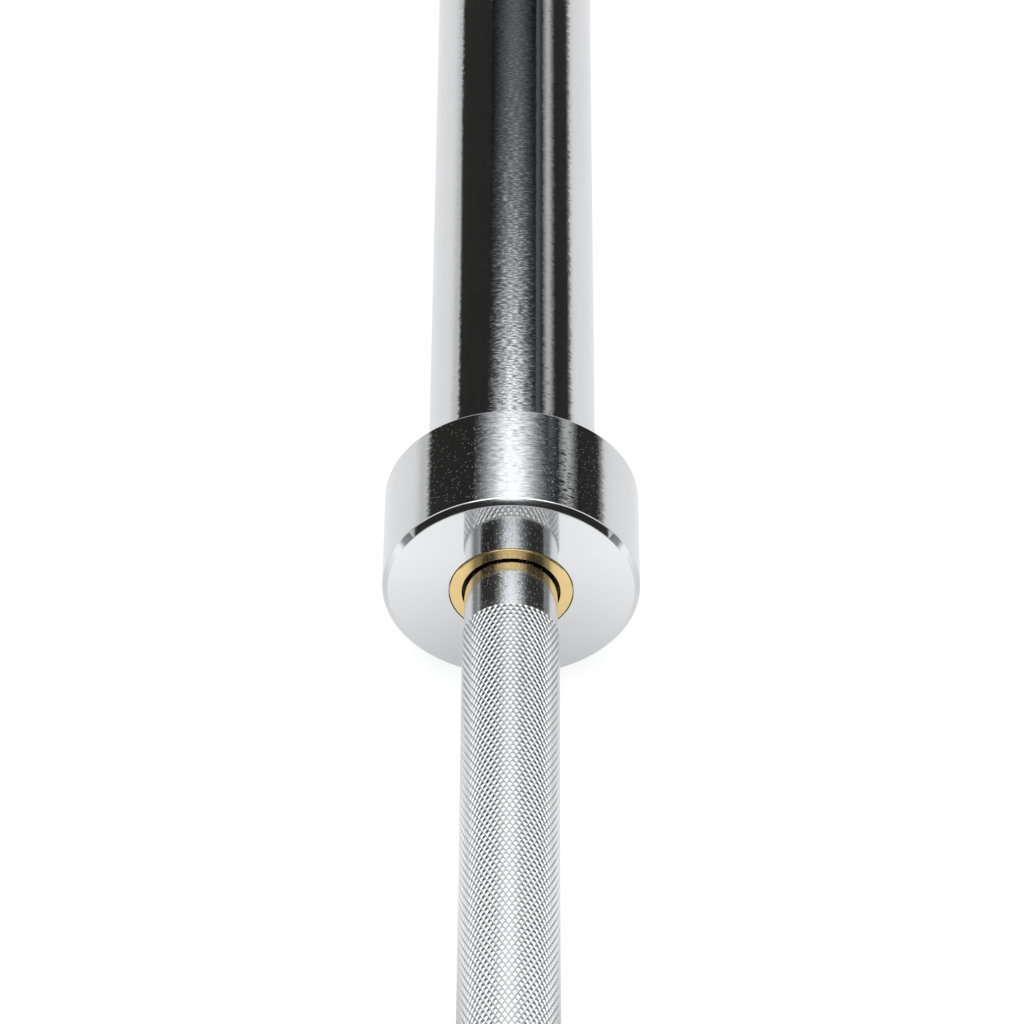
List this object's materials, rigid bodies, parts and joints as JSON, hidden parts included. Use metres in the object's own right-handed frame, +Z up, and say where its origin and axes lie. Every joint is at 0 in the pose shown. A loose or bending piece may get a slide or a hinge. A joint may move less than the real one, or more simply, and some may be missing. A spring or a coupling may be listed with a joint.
{
  "type": "olympic barbell",
  "caption": "Chromed olympic barbell: knurled steel shaft with spinning loading sleeves, thick chamfered collars and bronze bushes.",
  "frame": {"origin": "on the bar's axis at mid-length", "axes": "+X along the bar towards the right sleeve, +Z up"},
  "size_m": [2.2, 0.0754, 0.0754],
  "materials": {
    "shaft_chrome": "chromed steel, knurled grips",
    "sleeve_chrome": "chromed steel, finely ground",
    "bronze": "turned bronze, satin",
    "plain_steel": "turned bare steel",
    "spring_steel": "black phosphated spring steel",
    "cap_aluminium": "turned aluminium"
  },
  "bodies": {
    "shaft": {"shaft": "shaft_chrome", "left_thrust_hub": "plain_steel", "left_shaft_ring": "spring_steel", "right_thrust_hub": "plain_steel", "right_shaft_ring": "spring_steel"},
    "left_sleeve": {"left_sleeve_tube": "sleeve_chrome", "left_collar": "sleeve_chrome", "left_inner_bush": "bronze", "left_outer_bush": "bronze", "left_thrust_washer": "plain_steel", "left_sleeve_ring": "spring_steel", "left_end_cap": "cap_aluminium", "left_cap_ring": "spring_steel"},
    "right_sleeve": {"right_sleeve_tube": "sleeve_chrome", "right_collar": "sleeve_chrome", "right_inner_bush": "bronze", "right_outer_bush": "bronze", "right_thrust_washer": "plain_steel", "right_sleeve_ring": "spring_steel", "right_end_cap": "cap_aluminium", "right_cap_ring": "spring_steel"}
  },
  "joints": [
    {"name": "left_sleeve_spin", "type": "hinge", "parent": "shaft", "child": "left_sleeve", "pos_m": [-0.875, 0, 0], "axis": [1, 0, 0], "continuous": true},
    {"name": "right_sleeve_spin", "type": "hinge", "parent": "shaft", "child": "right_sleeve", "pos_m": [0.875, 0, 0], "axis": [1, 0, 0], "continuous": true}
  ]
}
